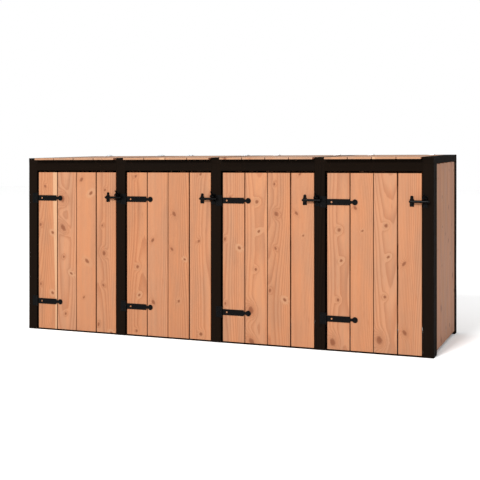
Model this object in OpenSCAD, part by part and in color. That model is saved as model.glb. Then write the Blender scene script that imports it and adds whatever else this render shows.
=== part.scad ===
// Four-bay wheelie-bin station: a dark timber frame with plank doors, lids and walls.
// +Z is up and the doors face -Y. The rest face is z = 0, with the origin under the middle.
// Modules draw from the front left corner of the frame, and place() moves them to the origin.

/* [Station] */
// Width of an ordinary bay, from post to post
bay_pitch = 700; // [640:5:760]
// Width of the last bay on the right, from post to post
last_pitch = 670; // [640:5:760]
// Depth of the frame, front to back
depth = 930; // [800:10:1000]
// Height of the frame at the front
front_h = 1200; // [1150:10:1300]
// Rise of the roof from the front to the back
roof_rise = 24; // [10:2:60]

/* [Frame] */
// Side of a square post
post_w = 66; // [64:1:80]
// Height of a top bar
bar_h = 44; // [40:1:60]
// Height of the rail over the doors
rail_h = 74; // [50:1:80]
// Thickness of the rail over the doors
rail_t = 45; // [30:1:60]
// Height of the threshold under the doors
sill_h = 8; // [5:1:9]
// Width of the upright beside the front post of each side wall
stile_w = 50; // [40:1:60]
// Chamfer on the long edges of the timber
ease = 1.5; // [0.5:0.5:3]

/* [Boards] */
// Thickness of a door or wall board
board_t = 18; // [15:1:22]
// Thickness of a lid board
lid_t = 12; // [12:1:20]
// Gaps between the four boards of a door, from the hinge side
door_gaps = [6, 4, 8]; // [2:1:10]
// Gap between the boards of a lid
lid_gap = 5; // [2:0.5:8]
// Gap between the boards of a wall
wall_gap = 4; // [2:1:8]
// How far the wall boards sit inside the outer faces of the posts
wall_inset = 5; // [2:1:10]
// Height of the wall boards above the ground
wall_lift = 22; // [15:1:40]
// Width of a board used as a door ledge or brace
ledge_w = 145; // [100:5:160]
// Thickness of a wall batten
batten_t = 28; // [20:1:30]
// Height of a wall batten
batten_h = 70; // [50:5:90]

/* [Doors] */
// Gap between a door and the post it hangs on
hinge_gap = 15; // [14:0.5:18]
// Gap between a door and the post it latches to
latch_gap = 5; // [3:0.5:8]
// Height of the bottom of a door above the ground
door_lift = 11; // [10:1:20]
// Gap between the top of a door and the rail
door_top_gap = 12; // [6:1:20]
// Distance from each end of a ledge to the edge of its door
ledge_inset = 20; // [15:1:40]
// Heights of the two hinges on every door
door_hinge_z = [200, 922]; // [150:1:1000]
// Height of the middle of each ledge
ledge_z = [228, 950]; // [150:1:1000]
// Length of the foot of the brace along the ledge
brace_foot = 188; // [120:2:220]
// Gap between the brace and each ledge
brace_gap = 1; // [0.5:0.5:3]

/* [Lids] */
// How far a lid overhangs the rail at the front
lid_overhang = 38; // [20:1:50]
// Gap between a lid and the top bars beside it
lid_side_gap = 5; // [3:0.5:10]
// Gap between a lid and the rail at the back
lid_back_gap = 6; // [5:0.5:10]
// Depth of the top rail at the back
back_rail_d = 60; // [45:1:80]
// Distances of the two lid battens from the front of the frame
lid_batten_s = [110, 690]; // [80:5:760]
// Distance from the side of a lid to the middle of its hinge
lid_hinge_inset = 85; // [50:5:150]

/* [Door hinges] */
// Length of the strap, from the pin to the middle of its round end
strap_l = 183; // [150:1:220]
// Width of the strap
strap_w = 38; // [30:1:44]
// Thickness of the strap and the post leaf
plate_t = 3; // [2:0.5:4]
// Radius of the round end of the strap
strap_end_r = 18; // [12:0.5:20]
// Length of the narrow neck before the round end
strap_neck = 10; // [6:1:20]
// Radius of the open hole near the knuckle of the strap
strap_hole_r = 6; // [4:0.5:7]
// Height of the post leaf
leaf_h = 70; // [64:1:90]
// Width of the post leaf
leaf_w = 33; // [25:1:34]
// Radius of the hinge knuckle
knuckle_r = 5.5; // [4.5:0.5:6]
// Radius of the hinge pin
pin_r = 3; // [2:0.5:3.5]
// Clearance between the pin and the knuckle that turns on it
pin_fit = 0.05; // [0.02:0.01:0.1]
// Gap between two knuckles
knuckle_gap = 0.5; // [0.3:0.1:1]

/* [Latches] */
// Height of the middle of the latch bar
latch_z = 932; // [800:1:1000]
// Radius of the latch bar
latch_bar_r = 8; // [6:0.5:8]
// Distance of the latch bar in front of the door
latch_bar_out = 22; // [20:1:26]
// How far the latch bar reaches past the edge of the post
latch_bar_reach = 46; // [36:1:50]
// Bottom, shoulder and top of the striker plate, from the middle of the bar
striker_z = [-31, 14, 35]; // [-40:1:40]
// Widths of the striker plate below and above its shoulder
striker_w = [26, 19]; // [15:1:30]
// Distance from the post to the middle of the striker plate
striker_x = 64; // [45:1:70]
// Distance from the edge of the post to the latch body
latch_inset = 1; // [0:0.5:3]
// Width of the latch body
latch_w = 29; // [26:1:30]
// Bottom and top of the latch body's back plate, from the middle of the bar
latch_base_z = [-36, 34]; // [-45:1:45]
// Thickness of a latch cheek
cheek_t = 2.5; // [2:0.5:3]
// Distance of the front of the latch cheeks from the post
cheek_out = 38; // [36:1:42]
// Angle that the catch is lifted by, from latched to open
catch_lift = 40; // [36:1:50]

/* [Fasteners] */
// Radius of a screw head
head_r = 4.5; // [3:0.5:5]
// Height of a screw head
head_h = 2.4; // [1.5:0.1:3]
// Radius of a screw shank
shank_r = 2; // [1.5:0.5:2.5]
// Length of a screw shank
shank_l = 14; // [10:1:16]
// Heights of the two screws in a striker plate, from the middle of the bar
striker_screw_z = [-23, 26]; // [-40:1:40]
// Heights of the two screws in a latch body, from the middle of the bar
latch_screw_z = [-27, 29]; // [-40:1:40]
// Distance from the hinge pin to the inner screw of a strap
strap_mid_screw = 78; // [60:1:120]
// Distance between the outer screws of a post leaf
leaf_screw_pitch = 48; // [40:1:60]

/* [Hidden] */
$fn = 64;
bays = [0:3];
posts = [0:4];
sides = [0, 1];
frame_w = 3 * bay_pitch + last_pitch + post_w;
roof_tilt = atan(roof_rise / depth);
// Length of the roof along its slope, so that the bars end above the backs of the posts
roof_l = depth / cos(roof_tilt) - bar_h * sin(roof_tilt);
rail_top = front_h - lid_t - 1;
door_h = rail_top - rail_h - door_top_gap - door_lift;
door_boards_n = 4;
lid_boards_n = 4;
side_boards_n = 5;
back_boards_n = 4;
lid_l = roof_l - back_rail_d - lid_back_gap;
wall_t = wall_inset + board_t;
batten_z = [batten_h, front_h - bar_h - batten_h - ledge_inset];
// Distance of the back of a stile from the front of the frame
stile_back = post_w + stile_w;
// Distance of a lid hinge pin in front of the top rail at the back
lid_pin_s = lid_l + lid_back_gap / 2;
lid_knuckle_r = 5;
lid_pin_r = 2.5;
lid_leaf_t = 2.5;
lid_leaf_w = 30;
lid_leaf_l = 60;
back_leaf_l = 40;
lid_knuckle_l = lid_leaf_w * 0.4;
// Screws of the lid hinge leaves: distances from the pin on the lid, and to each side on the rail
lid_leaf_screws = [-50, -26];
rail_leaf_screws = [-8, 8];
rail_screw_s = back_leaf_l - 12;
pin_head_h = 1.5;
// Distances of the open hole and the two screws of a strap from its pin
strap_hole_x = 35;
strap_screw_x = [strap_mid_screw, strap_l];
// Screws of a post leaf as [x, z], from the edge of the post beside the door
leaf_screws = [
    [-leaf_w * 0.62, -leaf_screw_pitch / 2],
    [-leaf_w * 0.62, leaf_screw_pitch / 2],
    [-leaf_w * 0.35, 0]
];
// Side view of the catch when latched: [y, z] from the middle of the latch bar, on the post face
catch_pivot = [-12, 17];
catch_t = 10;
catch_tab = [-56, 16];
latch_pin_r = 3;
// Foremost point of the lifted catch
front_reach = -lifted(catch_tab)[0];
y_middle = (depth - front_reach) / 2;

function door_name(i, part) = str("door_", i + 1, "_", part);
function lid_name(i, part) = str("lid_", i + 1, "_", part);
function catch_name(i) = str("catch_", i + 1);

// Left face of post i, and the left edge and width of the opening to its right
function post_x(i) = i < 4 ? i * bay_pitch : 3 * bay_pitch + last_pitch;
function opening_x(i) = post_x(i) + post_w;
function opening_w(i) = post_x(i + 1) - opening_x(i);
function door_x(i) = opening_x(i) + hinge_gap;
function door_w(i) = opening_w(i) - hinge_gap - latch_gap;
function door_pin_x(i) = opening_x(i) + hinge_gap / 2;
function lid_x(i) = opening_x(i) + lid_side_gap;
function lid_w(i) = opening_w(i) - 2 * lid_side_gap;
function lid_hinge_x(i, side) = lid_x(i) + (side == 0 ? lid_hinge_inset : lid_w(i) - lid_hinge_inset);
// Height of the underside of the top bars
function under_bar(y) = front_h + y * tan(roof_tilt) - bar_h / cos(roof_tilt);
// Sum of the first n values of a list
function sum_of(list, n) = n == 0 ? 0 : list[n - 1] + sum_of(list, n - 1);
// Width of one board where n boards and their gaps fill a width
function board_w(width, n, gaps) = (width - gaps) / n;
// A [y, z] point of the catch, turned from latched to lifted
function lifted(p) = catch_pivot + [
    (p - catch_pivot) * [cos(catch_lift), sin(catch_lift)],
    (p - catch_pivot) * [-sin(catch_lift), cos(catch_lift)]
];

// ---- Places and directions ----

module place() {
    translate([-frame_w / 2, -y_middle, 0]) children();
}

// The roof's own frame: x across, y up the slope from the front, z out of the roof
module on_roof() {
    translate([0, 0, front_h]) rotate([roof_tilt, 0, 0]) children();
}

// Extrudes an outline along +X: its x becomes Y and its y becomes Z
module along_x(length) {
    rotate([90, 0, 90]) linear_extrude(length) children();
}

// Extrudes an outline along +Y: its x stays X and its y runs down from z = 0
module along_y(length) {
    rotate([-90, 0, 0]) linear_extrude(length) children();
}

// Turns an outline drawn as [x, z] into a plate whose back is at y = 0
module front_plate(thickness) {
    rotate([90, 0, 0]) linear_extrude(thickness) children();
}

// Keeps what is below the top bars
module under_bars() {
    difference() {
        children();
        on_roof() translate([-post_w, -post_w, -bar_h]) cube([frame_w + 2 * post_w, depth * 2, front_h]);
    }
}

// ---- Shapes that repeat ----

module eased(w, t) {
    polygon([
        [ease, 0], [w - ease, 0], [w, ease], [w, t - ease],
        [w - ease, t], [ease, t], [0, t - ease], [0, ease]
    ]);
}

module post(height) {
    linear_extrude(height) eased(post_w, post_w);
}

// A row of upright boards from x = 0
module upright_row(width, n, gap, height) {
    w = board_w(width, n, (n - 1) * gap);
    for (k = [0:n - 1]) translate([k * (w + gap), 0, 0]) linear_extrude(height) eased(w, board_t);
}

// Hinge knuckle along +Z
module knuckle(length, r, bore_r) {
    linear_extrude(length) difference() {
        circle(r);
        circle(bore_r);
    }
}

// Hinge pin along +Z with a shallow head at each end
module pin(length, r, head) {
    cylinder(h = length, r = r);
    translate([0, 0, -pin_head_h]) cylinder(h = pin_head_h, r1 = head - 1, r2 = head);
    translate([0, 0, length]) cylinder(h = pin_head_h, r1 = head, r2 = head - 1);
}

// Cross-headed wood screw along +Z, whose head sits on z = 0
module screw(r = head_r) {
    slot = r * 0.3;
    difference() {
        union() {
            cylinder(h = head_h / 2, r = r);
            translate([0, 0, head_h / 2]) cylinder(h = head_h / 2, r1 = r, r2 = r * 0.6);
        }
        for (turn = [0, 90]) {
            rotate(turn) translate([-r * 0.5, -slot / 2, head_h * 0.4]) cube([r, slot, head_h]);
        }
    }
    translate([0, 0, -shank_l]) cylinder(h = shank_l, r = shank_r);
}

// A screw in the front of a plate, pointing into the timber
module front_screw(x, z, out) {
    translate([x, -out, z]) rotate([90, 0, 0]) screw();
}

// ---- Frame ----

module front_posts() {
    color("#211914") under_bars() for (i = posts) translate([post_x(i), 0, 0]) post(front_h);
}

module rear_posts() {
    color("#211914") under_bars() for (i = posts) {
        translate([post_x(i), depth - post_w, 0]) post(front_h + roof_rise);
    }
}

// The upright behind the front post of each side wall, flush with the post's outer face
module side_stiles() {
    color("#211914") under_bars() for (x = [0, frame_w - rail_t]) {
        translate([x, post_w, 0]) linear_extrude(front_h) eased(rail_t, stile_w);
    }
}

module top_bars() {
    color("#211914") on_roof() for (i = posts) {
        translate([post_x(i), 0, 0]) along_y(roof_l) eased(post_w, bar_h);
    }
}

module front_rails() {
    color("#211914") for (i = bays) {
        translate([opening_x(i), 0, rail_top - rail_h]) along_x(opening_w(i)) eased(rail_t, rail_h);
    }
}

module front_sills() {
    color("#211914") for (i = bays) {
        translate([opening_x(i), 0, 0]) along_x(opening_w(i)) eased(post_w, sill_h);
    }
}

module rear_rails() {
    color("#211914") on_roof() for (i = bays) {
        translate([opening_x(i), roof_l - back_rail_d, -bar_h]) {
            along_x(opening_w(i)) eased(back_rail_d, bar_h);
        }
    }
}

// ---- Walls ----

// Upright boards between a stile and a rear post, each cut square just under the top bar
module side_wall(x) {
    span = depth - post_w - stile_back;
    w = board_w(span, side_boards_n, (side_boards_n + 1) * wall_gap);
    for (k = [0:side_boards_n - 1]) {
        y = stile_back + wall_gap + k * (w + wall_gap);
        translate([x, y, wall_lift]) linear_extrude(under_bar(y) - 1 - wall_lift) eased(board_t, w);
    }
}

module left_boards() {
    color("#c99a72") side_wall(wall_inset);
}

module right_boards() {
    color("#c99a72") side_wall(frame_w - wall_t);
}

module back_boards() {
    height = under_bar(depth - back_rail_d) - 2 - wall_lift;
    color("#c99a72") for (i = bays) {
        translate([opening_x(i) + wall_gap, depth - wall_t, wall_lift]) {
            upright_row(opening_w(i) - 2 * wall_gap, back_boards_n, wall_gap, height);
        }
    }
}

// Two level battens inside each side wall and across the back of each bay
module wall_battens() {
    span = depth - post_w - stile_back;
    color("#c99a72") for (z = batten_z) {
        for (x = [wall_t, frame_w - wall_t - batten_t]) {
            translate([x, stile_back, z + batten_h]) along_y(span) eased(batten_t, batten_h);
        }
        for (i = bays) {
            translate([opening_x(i), depth - wall_t - batten_t, z]) {
                along_x(opening_w(i)) eased(batten_t, batten_h);
            }
        }
    }
}

// ---- Doors ----

module door_boards(i) {
    w = board_w(door_w(i), door_boards_n, sum_of(door_gaps, 3));
    color("#dea078") for (k = [0:door_boards_n - 1]) {
        translate([door_x(i) + k * w + sum_of(door_gaps, k), 0, door_lift]) {
            linear_extrude(door_h) eased(w, board_t);
        }
    }
}

// Two level ledges and the brace that rises from the hinge side to the latch side
module door_ledges(i) {
    left = door_x(i) + ledge_inset;
    right = door_x(i) + door_w(i) - ledge_inset;
    low = ledge_z[0] + ledge_w / 2 + brace_gap;
    high = ledge_z[1] - ledge_w / 2 - brace_gap;
    color("#c99a72") translate([0, board_t, 0]) {
        for (z = ledge_z) {
            translate([left, 0, z - ledge_w / 2]) along_x(right - left) eased(board_t, ledge_w);
        }
        translate([0, board_t, 0]) front_plate(board_t) {
            polygon([[left, low], [left + brace_foot, low], [right, high], [right - brace_foot, high]]);
        }
    }
}

// Strap as [x, z] from the pin: a long leaf, a neck and a round end, with three holes
module strap_outline() {
    shoulder = strap_l - strap_end_r - strap_neck;
    full = shoulder - ease * 2;
    difference() {
        union() {
            polygon([
                [0, -strap_w / 2], [full, -strap_w / 2], [shoulder, -strap_w / 4], [strap_l, -strap_w / 6],
                [strap_l, strap_w / 6], [shoulder, strap_w / 4], [full, strap_w / 2], [0, strap_w / 2]
            ]);
            translate([strap_l, 0]) circle(strap_end_r);
        }
        translate([strap_hole_x, 0]) circle(strap_hole_r);
        for (x = strap_screw_x) translate([x, 0]) circle(shank_r);
        translate([-knuckle_r, -strap_w]) square([knuckle_r * 2, strap_w * 2]);
    }
}

module door_straps(i) {
    color("#191919") for (z = door_hinge_z) translate([door_pin_x(i), 0, z]) {
        difference() {
            union() {
                front_plate(plate_t) strap_outline();
                translate([0, -plate_t, -strap_w / 2]) cube([knuckle_r * 2, plate_t, strap_w]);
                translate([0, -knuckle_r, -strap_w / 2]) cylinder(h = strap_w, r = knuckle_r);
            }
            translate([0, -knuckle_r, -strap_w]) cylinder(h = strap_w * 2, r = pin_r + pin_fit);
        }
    }
}

// Striker plate as [x, z] from the middle of the bar: wide below its shoulder, with a round tab above
module striker_outline() {
    corner = ease * 2;
    tab_r = striker_w[1] / 2;
    translate([-striker_w[0] / 2, striker_z[0] + corner]) {
        square([striker_w[0], striker_z[1] - striker_z[0] - corner]);
    }
    translate([-striker_w[0] / 2 + corner, striker_z[0]]) square([striker_w[0] - 2 * corner, corner * 2]);
    for (x = [-1, 1]) translate([x * (striker_w[0] / 2 - corner), striker_z[0] + corner]) circle(corner);
    translate([-tab_r, 0]) square([tab_r * 2, striker_z[2] - tab_r]);
    translate([0, striker_z[2] - tab_r]) circle(tab_r);
}

// The striker plate on the door, its boss and the bar that drops into the latch body
module door_striker(i) {
    boss_r = striker_w[1] / 2 + 1;
    bar_l = striker_x + latch_bar_reach - latch_bar_r;
    color("#191919") translate([post_x(i + 1) - striker_x, 0, latch_z]) difference() {
        union() {
            front_plate(plate_t) striker_outline();
            rotate([90, 0, 0]) cylinder(h = latch_bar_out, r = boss_r);
            translate([-boss_r * 0.6, -latch_bar_out, 0]) sphere(latch_bar_r);
            translate([-boss_r * 0.6, -latch_bar_out, 0]) rotate([0, 90, 0]) {
                cylinder(h = bar_l + boss_r * 0.6, r = latch_bar_r);
            }
            translate([bar_l, -latch_bar_out, 0]) sphere(latch_bar_r);
        }
        for (z = striker_screw_z) translate([0, 1, z]) rotate([90, 0, 0]) cylinder(h = 5, r = shank_r);
    }
}

module door_screws(i) {
    color("#191919") {
        for (z = door_hinge_z, x = strap_screw_x) front_screw(door_pin_x(i) + x, z, plate_t);
        for (z = striker_screw_z) front_screw(post_x(i + 1) - striker_x, latch_z + z, plate_t);
    }
}

// ---- Door hinge parts on the posts ----

module post_leaf() {
    end_l = (leaf_h - strap_w) / 2 - knuckle_gap;
    difference() {
        union() {
            translate([-leaf_w - hinge_gap / 2, -plate_t, -leaf_h / 2]) {
                cube([leaf_w + hinge_gap / 2 - knuckle_r - knuckle_gap, plate_t, leaf_h]);
            }
            for (z = [-leaf_h / 2, leaf_h / 2 - end_l]) translate([0, 0, z]) {
                translate([-knuckle_r * 2, -plate_t, 0]) cube([knuckle_r * 2, plate_t, end_l]);
                translate([0, -knuckle_r, 0]) cylinder(h = end_l, r = knuckle_r);
            }
        }
        translate([0, -knuckle_r, -leaf_h]) cylinder(h = leaf_h * 2, r = pin_r);
        for (p = leaf_screws) {
            translate([p[0] - hinge_gap / 2, 1, p[1]]) rotate([90, 0, 0]) cylinder(h = 5, r = shank_r);
        }
    }
}

module post_leaves() {
    color("#191919") for (i = bays, z = door_hinge_z) translate([door_pin_x(i), 0, z]) post_leaf();
}

module post_pins() {
    color("#191919") for (i = bays, z = door_hinge_z) {
        translate([door_pin_x(i), -knuckle_r, z - leaf_h / 2]) pin(leaf_h, pin_r, knuckle_r - 0.5);
    }
}

module post_leaf_screws() {
    color("#191919") for (i = bays, z = door_hinge_z, p = leaf_screws) {
        front_screw(opening_x(i) + p[0], z + p[1], plate_t);
    }
}

// ---- Latches ----

// Side view of a cheek as [y, z], open to the front for the bar
module cheek_outline() {
    slot_r = latch_bar_r + 1.5;
    top = catch_pivot[1] + 7;
    bottom = -latch_bar_r - 9;
    nose = 5;
    difference() {
        union() {
            translate([-cheek_out + nose, bottom]) square([cheek_out - nose - plate_t, top - bottom]);
            translate([-cheek_out, bottom + nose]) square([cheek_out - plate_t, top - bottom - 2 * nose]);
            for (z = [bottom + nose, top - nose]) translate([-cheek_out + nose, z]) circle(nose);
        }
        translate([-latch_bar_out, 0]) circle(slot_r);
        translate([-cheek_out - 1, -slot_r]) square([cheek_out + 1 - latch_bar_out, slot_r * 2]);
        translate(catch_pivot) circle(latch_pin_r);
    }
}

module latch_bodies() {
    base_h = latch_base_z[1] - latch_base_z[0];
    color("#191919") for (i = bays) translate([post_x(i + 1) + latch_inset, 0, latch_z]) {
        difference() {
            translate([0, -plate_t, latch_base_z[0]]) cube([latch_w, plate_t, base_h]);
            for (z = latch_screw_z) {
                translate([latch_w / 2, 1, z]) rotate([90, 0, 0]) cylinder(h = 5, r = shank_r);
            }
        }
        for (x = [cheek_t, latch_w - 2 * cheek_t]) translate([x, 0, 0]) along_x(cheek_t) cheek_outline();
    }
}

module latch_pins() {
    color("#191919") for (i = bays) {
        translate([post_x(i + 1) + latch_inset + cheek_t - 1, catch_pivot[0], latch_z + catch_pivot[1]]) {
            rotate([0, 90, 0]) cylinder(h = latch_w - 2 * cheek_t + 2, r = latch_pin_r);
        }
    }
}

module latch_screws() {
    color("#191919") for (i = bays, z = latch_screw_z) {
        front_screw(post_x(i + 1) + latch_inset + latch_w / 2, latch_z + z, plate_t);
    }
}

// Side view of the catch when latched: an arm, a finger that closes the slot, and a thumb tab
module catch_outline() {
    finger = [-latch_bar_out - latch_bar_r - 3, -5];
    polygon([
        catch_pivot + [-4, 4], catch_pivot + [-4, -4], [finger[0], 12], finger,
        finger + [-5, 0], [finger[0] - 6, catch_tab[1]], catch_tab, catch_tab + [0, 5]
    ]);
}

// A rod along X through the catch's pivot
module catch_rod(length, r) {
    translate([0, catch_pivot[0], catch_pivot[1]]) rotate([0, 90, 0]) cylinder(h = length, r = r);
}

// Gravity catch on its pin, drawn lifted
module catch(i) {
    color("#191919") translate([post_x(i + 1) + latch_inset + (latch_w - catch_t) / 2, 0, latch_z]) {
        translate([0, catch_pivot[0], catch_pivot[1]]) rotate([-catch_lift, 0, 0]) {
            translate([0, -catch_pivot[0], -catch_pivot[1]]) difference() {
                union() {
                    along_x(catch_t) catch_outline();
                    catch_rod(catch_t, latch_pin_r + 3);
                }
                translate([-1, 0, 0]) catch_rod(catch_t + 2, latch_pin_r + pin_fit);
            }
        }
    }
}

// ---- Lids, drawn in the roof's own frame ----

module lid_boards(i) {
    w = board_w(lid_w(i), lid_boards_n, (lid_boards_n - 1) * lid_gap);
    color("#dfae8c") on_roof() for (k = [0:lid_boards_n - 1]) {
        translate([lid_x(i) + k * (w + lid_gap), -lid_overhang, 0]) {
            along_y(lid_l + lid_overhang) eased(w, lid_t);
        }
    }
}

module lid_battens(i) {
    color("#c99a72") on_roof() for (s = lid_batten_s) {
        translate([lid_x(i) + ledge_inset, s, -lid_t - board_t]) {
            along_x(lid_w(i) - 2 * ledge_inset) eased(batten_h, board_t);
        }
    }
}

// Knuckle of a lid hinge along X, whose pin is at s = 0
module lid_knuckle(x, length, bore_r) {
    translate([x, 0, lid_knuckle_r]) rotate([0, 90, 0]) {
        knuckle(length, lid_knuckle_r, bore_r);
    }
}

// Leaf on a lid board, with the middle knuckle
module lid_leaf() {
    difference() {
        union() {
            translate([-lid_leaf_w / 2, -lid_leaf_l, 0]) {
                cube([lid_leaf_w, lid_leaf_l - lid_knuckle_r - knuckle_gap, lid_leaf_t]);
            }
            translate([-lid_knuckle_l / 2, -lid_knuckle_r * 2, 0]) {
                cube([lid_knuckle_l, lid_knuckle_r * 2, lid_leaf_t]);
            }
            lid_knuckle(-lid_knuckle_l / 2, lid_knuckle_l, lid_pin_r + pin_fit);
        }
        translate([-lid_leaf_w, 0, lid_knuckle_r]) rotate([0, 90, 0]) {
            cylinder(h = lid_leaf_w * 2, r = lid_pin_r + pin_fit);
        }
        for (s = lid_leaf_screws) translate([0, s, -1]) cylinder(h = 5, r = shank_r);
    }
}

// Leaf on the top rail at the back, with the two outer knuckles
module rail_leaf() {
    end_l = (lid_leaf_w - lid_knuckle_l) / 2 - knuckle_gap;
    difference() {
        union() {
            translate([-lid_leaf_w / 2, lid_knuckle_r + knuckle_gap, 0]) {
                cube([lid_leaf_w, back_leaf_l - lid_knuckle_r - knuckle_gap, lid_leaf_t]);
            }
            for (x = [-lid_leaf_w / 2, lid_leaf_w / 2 - end_l]) {
                translate([x, 0, 0]) cube([end_l, lid_knuckle_r * 2, lid_leaf_t]);
                lid_knuckle(x, end_l, lid_pin_r);
            }
        }
        translate([-lid_leaf_w, 0, lid_knuckle_r]) rotate([0, 90, 0]) {
            cylinder(h = lid_leaf_w * 2, r = lid_pin_r);
        }
        for (x = rail_leaf_screws) {
            translate([x, rail_screw_s, -1]) cylinder(h = 5, r = shank_r);
        }
    }
}

module at_lid_hinge(i, side) {
    on_roof() translate([lid_hinge_x(i, side), lid_pin_s, 0]) children();
}

module lid_leaves(i) {
    color("#a9adb0") for (side = sides) at_lid_hinge(i, side) lid_leaf();
}

module lid_screws(i) {
    color("#a9adb0") for (side = sides, s = lid_leaf_screws) {
        at_lid_hinge(i, side) translate([0, s, lid_leaf_t]) screw();
    }
}

module rail_leaves() {
    color("#a9adb0") for (i = bays, side = sides) at_lid_hinge(i, side) rail_leaf();
}

module lid_pins() {
    color("#a9adb0") for (i = bays, side = sides) at_lid_hinge(i, side) {
        translate([-lid_leaf_w / 2, 0, lid_knuckle_r]) rotate([0, 90, 0]) {
            pin(lid_leaf_w, lid_pin_r, lid_knuckle_r - 0.5);
        }
    }
}

module rail_leaf_screws_set() {
    color("#a9adb0") for (i = bays, side = sides, x = rail_leaf_screws) {
        at_lid_hinge(i, side) translate([x, rail_screw_s, lid_leaf_t]) screw();
    }
}

// ---- Nodes ----

place() {
    front_posts();
    rear_posts();
    side_stiles();
    top_bars();
    front_rails();
    front_sills();
    rear_rails();
    left_boards();
    right_boards();
    back_boards();
    wall_battens();
    post_leaves();
    post_pins();
    post_leaf_screws();
    latch_bodies();
    latch_pins();
    latch_screws();
    rail_leaves();
    lid_pins();
    rail_leaf_screws_set();  // rail_leaf_screws
    for (i = bays) {
        door_boards(i);
        door_ledges(i);
        door_straps(i);
        door_striker(i);
        door_screws(i);
        lid_boards(i);
        lid_battens(i);
        lid_leaves(i);
        lid_screws(i);
        catch(i);
    }
}
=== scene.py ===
"""Four-bay bin station: looks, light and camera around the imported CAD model."""
import bpy
import math
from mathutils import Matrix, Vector

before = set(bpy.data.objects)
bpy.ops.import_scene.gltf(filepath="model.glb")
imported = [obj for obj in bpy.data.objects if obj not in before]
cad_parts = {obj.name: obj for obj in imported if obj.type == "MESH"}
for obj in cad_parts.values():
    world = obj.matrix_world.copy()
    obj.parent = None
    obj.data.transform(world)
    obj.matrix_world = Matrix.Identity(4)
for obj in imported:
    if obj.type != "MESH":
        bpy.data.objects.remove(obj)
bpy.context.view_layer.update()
X, Y, Z = 0, 1, 2


# ---- Node building ----

class Value:
    """A node's output that can stand in a formula."""

    def __init__(self, net, socket):
        self.net, self.socket = net, socket

    def __add__(self, other):
        return self.net.math("ADD", self, other)

    def __sub__(self, other):
        return self.net.math("SUBTRACT", self, other)

    def __mul__(self, other):
        return self.net.math("MULTIPLY", self, other)

    def __truediv__(self, other):
        return self.net.math("DIVIDE", self, other)

    def __gt__(self, other):
        return self.net.math("GREATER_THAN", self, other)


class Net:
    """The nodes of one material. A value is a number, a colour or a Value."""

    def __init__(self, name):
        self.material = bpy.data.materials.new(name)
        self.material.use_nodes = True
        self.tree = self.material.node_tree
        self.tree.nodes.clear()
        self.place = self.add("ShaderNodeTexCoord")
        self.x, self.y, self.z = self.split(self.place.outputs["Object"])

    def add(self, kind, inputs=None, **settings):
        node = self.tree.nodes.new(kind)
        for key, value in settings.items():
            setattr(node, key, value)
        for key, value in (inputs or {}).items():
            self.put(node.inputs[key], value)
        return node

    def put(self, socket, value):
        if isinstance(value, Value):
            value = value.socket
        if isinstance(value, bpy.types.NodeSocket):
            self.tree.links.new(value, socket)
        elif socket.type == "RGBA":
            socket.default_value = (*value, 1.0)
        else:
            socket.default_value = value

    def math(self, operation, *values):
        node = self.add("ShaderNodeMath", operation=operation)
        for socket, value in zip(node.inputs, values):
            self.put(socket, value)
        return Value(self, node.outputs[0])

    def split(self, vector):
        node = self.add("ShaderNodeSeparateXYZ", {"Vector": vector})
        return [Value(self, out) for out in node.outputs]

    def vector(self, x, y, z):
        return self.add("ShaderNodeCombineXYZ", {"X": x, "Y": y, "Z": z}).outputs[0]

    def noise(self, x, y, z, detail=2.0, roughness=0.5):
        """Noise about 0, from about -0.5 to 0.5."""
        node = self.add("ShaderNodeTexNoise", {
            "Vector": self.vector(x, y, z), "Scale": 1.0, "Detail": detail, "Roughness": roughness})
        return Value(self, node.outputs[0]) - 0.5

    def chance(self, seed):
        """Four even random numbers for a seed."""
        node = self.add("ShaderNodeTexWhiteNoise", {"W": seed}, noise_dimensions="1D")
        return [Value(self, node.outputs["Value"]), *self.split(node.outputs["Color"])]

    def ease(self, value, low, high):
        """0 below low, 1 above high and a smooth step between; low may be over high."""
        node = self.add("ShaderNodeMapRange", {
            "Value": value, "From Min": low, "From Max": high}, interpolation_type="SMOOTHSTEP")
        return Value(self, node.outputs["Result"])

    def bell(self, value):
        """1 at 0, falling smoothly to both sides."""
        return self.math("EXPONENT", value * value * -1.0)

    def mix(self, share, first, second, blend="MIX"):
        node = self.add("ShaderNodeMix", data_type="RGBA", blend_type=blend, clamp_factor=True)
        self.put(node.inputs[0], share)
        self.put(node.inputs[6], first)
        self.put(node.inputs[7], second)
        return node.outputs[2]

    def grey(self, value):
        return self.add("ShaderNodeCombineColor", {"Red": value, "Green": value, "Blue": value}).outputs[0]

    def facing(self, axis):
        """1 on faces square to an axis of the object, and 0 on the others."""
        side = self.split(self.place.outputs["Normal"])[axis]
        return self.ease(self.math("ABSOLUTE", side), 0.8, 0.95)

    def worn_and_lit_edges(self, radius):
        """Near 1 along sharp edges, and 0 on flat faces."""
        soft = self.add("ShaderNodeBevel", {"Radius": radius}, samples=6).outputs[0]
        hard = self.add("ShaderNodeNewGeometry").outputs["Normal"]
        dot = self.add("ShaderNodeVectorMath", operation="DOT_PRODUCT")
        self.put(dot.inputs[0], soft)
        self.put(dot.inputs[1], hard)
        return self.ease(Value(self, dot.outputs["Value"]), 0.995, 0.85)

    def finish(self, color, roughness, height, depth, **shader):
        """A principled shader; a height of 1 stands depth metres proud."""
        bump = self.add("ShaderNodeBump", {"Height": height, "Distance": depth, "Strength": 1.0})
        surface = self.add("ShaderNodeBsdfPrincipled", {
            "Base Color": color, "Roughness": roughness, "Normal": bump.outputs[0], **shader})
        output = self.add("ShaderNodeOutputMaterial")
        self.tree.links.new(surface.outputs[0], output.inputs["Surface"])
        return self.material


def dress(material, *names):
    """Puts a material on CAD nodes."""
    for name in names:
        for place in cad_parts[name].material_slots:
            place.material = material


# ---- Timber ----

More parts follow.
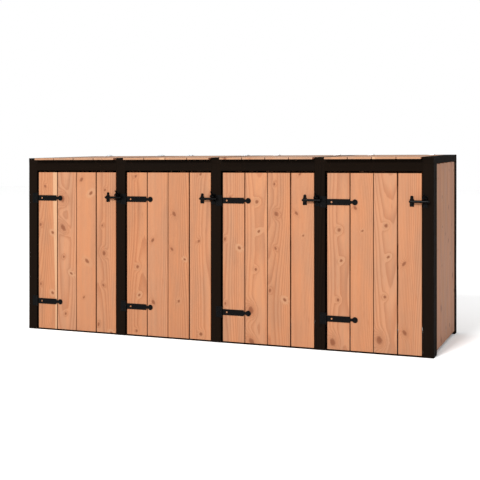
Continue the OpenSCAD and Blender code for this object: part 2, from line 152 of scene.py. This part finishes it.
def spans(names, axis):
    """The range that each board covers along an axis, from its CAD faces."""
    ranges = []
    for name in names:
        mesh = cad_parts[name].data
        for face in mesh.polygons:
            places = [mesh.vertices[v].co[axis] for v in face.vertices]
            ranges.append((min(places), max(places)))
    ranges.sort()
    found = [list(ranges[0])]
    for low, high in ranges[1:]:
        if low < found[-1][1] + 0.0004:
            found[-1][1] = max(high, found[-1][1])
        else:
            found.append([low, high])
    return found


def middle_of_board(net, place, boards):
    """The middle of the board that a place is in."""
    middles = [(low + high) / 2 for low, high in boards]
    middle = net.math("ADD", middles[0], 0.0)
    for k in range(1, len(boards)):
        gap = (boards[k - 1][1] + boards[k][0]) / 2
        middle = net.math("MULTIPLY_ADD", place > gap, middles[k] - middles[k - 1], middle)
    return middle


# Numbers per metre across and along the board, and the detail, of the noise in its surface
STREAK = (75, 1.4, 3.0)
CLOUD = (17, 3.2, 3.0)
FIBRE = (900, 26, 2.0)
FLECK = (420, 16, 0.0)
# Boards of one kind are cut from places this far apart in the noise, so that they differ
BOARD_SHIFT = 40.0
KNOT_SHIFT = 50.0
SECOND_DRAW = 11.3
# Metres: how far knots lie from the middle of a board, and their radius
KNOT_SPREAD = 0.12
KNOT_RADIUS = 0.005
KNOT_EXTRA = 0.010
KNOT_RING = 0.0021
# Metres: how far the pith lies to the side of a board and behind it, and how far it strays
PITH_SPREAD = 0.6
PITH_NEAR = 0.014
PITH_DEEPER = 0.09
PITH_STRAY = 0.03


def knots(net, across, along, depth, side, look):
    """Knots, at most one for each stretch of board: radius, distance in radii, place, and if there is one."""
    stretch = look["knot_stretch"]
    spot = along / stretch + side * KNOT_SHIFT
    cell = net.add("ShaderNodeTexVoronoi", {
        "W": spot, "Scale": 1.0, "Randomness": 0.9}, voronoi_dimensions="1D")
    place, size, slant = net.split(cell.outputs["Color"])
    past = (spot - Value(net, cell.outputs["W"])) * stretch
    beside = across - (place - 0.5) * KNOT_SPREAD + past * (slant - 0.6) * 1.5
    radius = size * size * KNOT_EXTRA + KNOT_RADIUS
    away = net.math("SQRT", beside * beside + past * past * (place * 0.7 + 0.4)) / radius
    away = away + net.noise(across * 110, along * 110, depth * 110, detail=3.0) * 0.9
    return radius, away, place, slant > look["knot_share"]


def rings(net, across, along, depth, seed, draws, bulge, width):
    """Growth rings round a pith that wanders along the board: late wood, slow bands and the wandering."""
    shift, side, deep, slope = draws
    wander = net.noise(shift, along * 1.3, seed, detail=1.0)
    drift = net.noise(shift + 7.0, along * 0.8, seed, detail=1.0)
    pith = across - (side - 0.5) * PITH_SPREAD - wander * PITH_STRAY
    under = depth + PITH_NEAR + deep * PITH_DEEPER + (slope - 0.5) * along * 0.025 + drift * PITH_STRAY
    ring = net.math("SQRT", pith * pith + under * under)
    ring = (ring + bulge + net.noise(across * 25, along * 3, depth * 25) * 0.0022) / width
    phase = net.math("FRACT", ring)
    late = net.ease(phase, 0.3, 0.9) * net.ease(phase, 1.0, 0.92)
    band = net.noise(ring * 0.23, seed, 0.0, detail=1.0)
    return late, band, wander


def timber(net, across, along, depth, seed, look):
    """Colour, height and late wood of sawn boards, with their own chance numbers for each board."""
    tone, side, deep, slope = net.chance(seed)
    hue, sap, edge, _ = net.chance(seed + SECOND_DRAW)
    shift = tone * BOARD_SHIFT

    def grain(fine, coarse, detail):
        return net.noise(across * fine, along * coarse + shift, depth * fine, detail)

    radius, away, place, is_knot = knots(net, across, along, depth, side, look)
    knot = net.ease(away, 1.5, 0.5) * is_knot
    rim = net.bell((away - 1.0) * 3.0) * is_knot
    halo = net.bell(away * 0.38) * is_knot
    draws = (shift, side, deep, slope)
    late, band, wander = rings(net, across, along, depth, seed, draws, halo * radius * 1.5, look["ring"])
    streak = grain(*STREAK)
    cloud = grain(*CLOUD)
    fibre = grain(*FIBRE)
    fleck = net.ease(grain(*FLECK), 0.24, 0.34)
    color = net.mix(late * look["contrast"] + band * 0.5 + streak * 0.5 + 0.12, look["early"], look["late"])
    tint = net.mix((hue - 0.5) * 1.1 + cloud * 2.2 + 0.5, (1.0, 1.05, 1.12), (1.0, 0.94, 0.87))
    color = net.mix(1.0, color, tint, blend="MULTIPLY")
    light = (tone - 0.5) * look["tones"] + streak * 0.4 + cloud * 0.45 + fibre * 0.2 + 1.0
    color = net.mix(1.0, color, net.grey(light), blend="MULTIPLY")
    # Pale sapwood along one edge of a few boards
    toward_edge = across * ((edge > 0.5) * 2.0 - 1.0) + wander * 0.06
    bare = net.ease(toward_edge, 0.045, 0.056) * (sap > look["sap_share"])
    color = net.mix(bare * 0.7, color, look["pale"])
    # Knots, with a pale ring round some of them and a warm halo round all
    pale = net.bell((away - 2.0) * 0.8) * is_knot * net.ease(place, 0.35, 0.75)
    color = net.mix(pale * 0.45, color, look["pale"])
    color = net.mix(halo * 0.5, color, look["halo"])
    color = net.mix(fleck * 0.35, color, look["late"])
    knot_rings = net.math("FRACT", away * radius / KNOT_RING + fibre)
    core = net.mix(knot_rings * 0.5, look["knot"], look["knot_dark"])
    color = net.mix(knot * 0.85, color, core)
    color = net.mix(rim * 0.3, color, look["knot_dark"])
    height = late * 0.35 + fibre * 0.5 + knot * 0.3 - rim * 0.4
    return color, height, late


RAW = {
    "early": (0.288, 0.133, 0.066), "late": (0.176, 0.057, 0.021), "halo": (0.20, 0.072, 0.029),
    "pale": (0.36, 0.215, 0.12), "knot": (0.14, 0.041, 0.013), "knot_dark": (0.07, 0.018, 0.006),
    "contrast": 0.42, "tones": 0.12, "ring": 0.0040,
    "knot_stretch": 0.21, "knot_share": 0.25, "sap_share": 0.88,
    "dark_sides": 0.9, "rough": 0.66, "gloss": 0.2,
}
STAIN = {
    "early": (0.0050, 0.0030, 0.0019), "late": (0.0030, 0.0018, 0.0011), "halo": (0.0042, 0.0025, 0.0016),
    "pale": (0.006, 0.0042, 0.003), "knot": (0.0034, 0.0022, 0.0015), "knot_dark": (0.0018, 0.0012, 0.0009),
    "contrast": 0.6, "tones": 0.15, "ring": 0.0036,
    "knot_stretch": 0.42, "knot_share": 0.45, "sap_share": 0.95,
}
# Painted shade colour for the narrow sides of boards, standing in for the shade in the gaps between them
GAP_SHADE_COLOR = (0.16, 0.036, 0.010)
EDGE_WEAR_AND_HIGHLIGHT = (0.016, 0.011, 0.008)
# The lids are greyer and duller than the doors
WEATHERED = {"early": (0.285, 0.158, 0.092), "late": (0.175, 0.078, 0.038), "rough": 0.72, "gloss": 0.25}


def planks(name, nodes, axes, **changes):
    """Raw boards side by side; axes are across, along and through the boards."""
    net = Net(name)
    place = [net.x, net.y, net.z]
    across, along, depth = [place[axis] for axis in axes]
    middle = middle_of_board(net, across, spans(nodes, axes[0]))
    # Boards in two rows, such as two walls, differ from each other
    seed = middle + (depth > 0.0) * 3.7
    look = {**RAW, **changes}
    across = across - middle
    color, height, late = timber(net, across, along, depth, seed, look)
    # Painted shade: the narrow sides between boards are darkened to stand in for the shade that falls in the
    # gaps
    color = net.mix(net.facing(axes[0]) * look["dark_sides"], color, GAP_SHADE_COLOR)
    rough = late * -0.10 + net.noise(across * 9, along * 3, depth * 9) * 0.2 + look["rough"]
    dress(net.finish(color, rough, height, 0.0003, **{"Specular IOR Level": look["gloss"]}), *nodes)


def stained(name, nodes, axes, seed_axis):
    """Dark stained frame timber, with a little wear and a painted highlight along its edges."""
    net = Net(name)
    place = [net.x, net.y, net.z]
    across, along, depth = [place[axis] for axis in axes]
    middle = middle_of_board(net, place[seed_axis], spans(nodes, seed_axis))
    if seed_axis == axes[0]:
        across = across - middle
    color, height, late = timber(net, across, along, depth, middle, STAIN)
    patch = net.noise(across * 40, along * 11, depth * 40, 4.0)
    # Lighter edges: partly rubbed wear, partly a painted edge highlight
    wear_and_highlight = net.worn_and_lit_edges(0.0025) * net.ease(patch, -0.05, 0.2)
    color = net.mix(wear_and_highlight * 0.35, color, EDGE_WEAR_AND_HIGHLIGHT)
    rough = net.noise(across * 30, along * 5, depth * 30, 3.0) * 0.2 + 0.85
    dress(net.finish(color, rough, height, 0.0004, **{"Specular IOR Level": 0.02}), *nodes)


def black_steel(nodes):
    """Black powder-coated steel: a fine orange-peel skin, dulled in patches, and lighter at a few edges,
    partly worn coat and partly a painted edge highlight.
    """
    net = Net("black_steel")
    x, y, z = net.x, net.y, net.z
    peel = net.noise(x * 900, y * 900, z * 900, 1.0)
    patch = net.noise(x * 70, y * 70, z * 70, 3.0)
    edge_wear_and_glint = net.worn_and_lit_edges(0.0012) * net.ease(patch, 0.02, 0.16)
    color = net.mix(patch + 0.5, (0.0006, 0.0006, 0.0007), (0.0018, 0.0018, 0.0018))
    # Lighter edges: partly worn coat, partly a painted edge highlight
    color = net.mix(edge_wear_and_glint * 0.5, color, (0.03, 0.028, 0.026))
    dress(net.finish(color, patch * 0.25 + 0.30, peel, 0.00008, **{"Specular IOR Level": 0.05}), *nodes)


def zinc_steel(nodes):
    """Bright zinc plate: crystal patches in slightly different greys, dulled by white bloom."""
    net = Net("zinc_steel")
    x, y, z = net.x, net.y, net.z
    cells = net.add("ShaderNodeTexVoronoi", {"Vector": net.vector(x * 160, y * 160, z * 160), "Scale": 1.0})
    crystal = net.split(cells.outputs["Color"])[0]
    bloom = net.noise(x * 55, y * 55, z * 55, 4.0)
    color = net.mix(crystal, (0.40, 0.43, 0.46), (0.56, 0.59, 0.61))
    color = net.mix(net.ease(bloom, 0.0, 0.2) * 0.4, color, (0.62, 0.63, 0.63))
    rough = crystal * 0.12 + bloom * 0.2 + 0.36
    dress(net.finish(color, rough, bloom + crystal * 0.3, 0.0001, Metallic=1.0), *nodes)


# ---- Light, floor and camera ----

KEY_PLACE = (-1.5, -14.0, 8.5)
KEY_TARGET = (0.0, 0.0, 0.6)
KEY_SIZE = 4.0
KEY_WATTS = 3600
FLOOR_REACH = 40.0
CAMERA_PLACE = (2.3415, -5.958, 1.1413)
CAMERA_YAW = 21.38
LENS_MM = 69.1
LENS_SHIFT = -0.153


def aim(thing, place, target):
    thing.location = place
    thing.rotation_euler = (Vector(target) - Vector(place)).to_track_quat("-Z", "Y").to_euler()


def key_light():
    light = bpy.data.lights.new("key", "AREA")
    light.shape = "SQUARE"
    light.size = KEY_SIZE
    light.energy = KEY_WATTS
    thing = bpy.data.objects.new("key", light)
    aim(thing, KEY_PLACE, KEY_TARGET)
    bpy.context.scene.collection.objects.link(thing)


def pale_floor():
    mesh = bpy.data.meshes.new("floor")
    corners = [(x * FLOOR_REACH, y * FLOOR_REACH, 0) for x, y in ((-1, -1), (1, -1), (1, 1), (-1, 1))]
    mesh.from_pydata(corners, [], [(0, 1, 2, 3)])
    floor = bpy.data.objects.new("floor", mesh)
    bpy.context.scene.collection.objects.link(floor)
    net = Net("floor")
    grain = net.noise(net.x * 3, net.y * 3, net.z, 3.0)
    shade = net.mix(grain + 0.5, (0.965, 0.965, 0.965), (0.985, 0.985, 0.985))
    mesh.materials.append(net.finish(shade, 0.9, grain, 0.0002, **{"Specular IOR Level": 0.1}))


def studio():
    """A pale floor, a white surround and one soft key light from the upper left front."""
    world = bpy.data.worlds.new("surround")
    world.use_nodes = True
    sky = world.node_tree.nodes["Background"]
    sky.inputs["Color"].default_value = (1.0, 1.0, 1.0, 1.0)
    sky.inputs["Strength"].default_value = 1.0
    bpy.context.scene.world = world
    key_light()
    pale_floor()
    bpy.context.scene.view_settings.view_transform = "Standard"


def camera():
    """A level camera to the right of the front, as in the photograph."""
    lens = bpy.data.cameras.new("camera")
    lens.sensor_width = 36.0
    lens.lens = LENS_MM
    lens.shift_y = LENS_SHIFT
    lens.clip_end = 200.0
    thing = bpy.data.objects.new("camera", lens)
    thing.location = CAMERA_PLACE
    thing.rotation_euler = (math.radians(90.0), 0.0, math.radians(CAMERA_YAW))
    bpy.context.scene.collection.objects.link(thing)
    bpy.context.scene.camera = thing


# ---- The whole object ----

bays = range(1, 5)
doors = [f"door_{n}_boards" for n in bays]
lids = [f"lid_{n}_boards" for n in bays]
camera()
studio()
planks("door_wood", doors, (X, Z, Y))
planks("lid_wood", lids, (X, Y, Z), **WEATHERED)
planks("side_wood", ["left_boards", "right_boards"], (Y, Z, X))
planks("back_wood", ["back_boards"], (X, Z, Y))
planks("ledge_wood", [f"door_{n}_ledges" for n in bays], (Z, X, Y), dark_sides=0.0)
planks("lid_batten_wood", [f"lid_{n}_battens" for n in bays], (Y, X, Z), dark_sides=0.0)
planks("wall_batten_wood", ["wall_battens"], (Z, X, Y), dark_sides=0.0)
stained("post_stain", ["front_posts", "rear_posts", "side_stiles"], (X, Z, Y), X)
stained("bar_stain", ["top_bars"], (X, Y, Z), X)
stained("rail_stain", ["front_rails", "front_sills", "rear_rails"], (Z, X, Y), X)
black = ["post_leaves", "post_pins", "post_leaf_screws", "latch_bodies", "latch_pins", "latch_screws"]
black += [f"door_{n}_{part}" for n in bays for part in ("straps", "striker", "screws")]
black += [f"catch_{n}" for n in bays]
black_steel(black)
zinc = ["rail_leaves", "lid_pins", "rail_leaf_screws"]
zinc += [f"lid_{n}_{part}" for n in bays for part in ("leaves", "screws")]
zinc_steel(zinc)
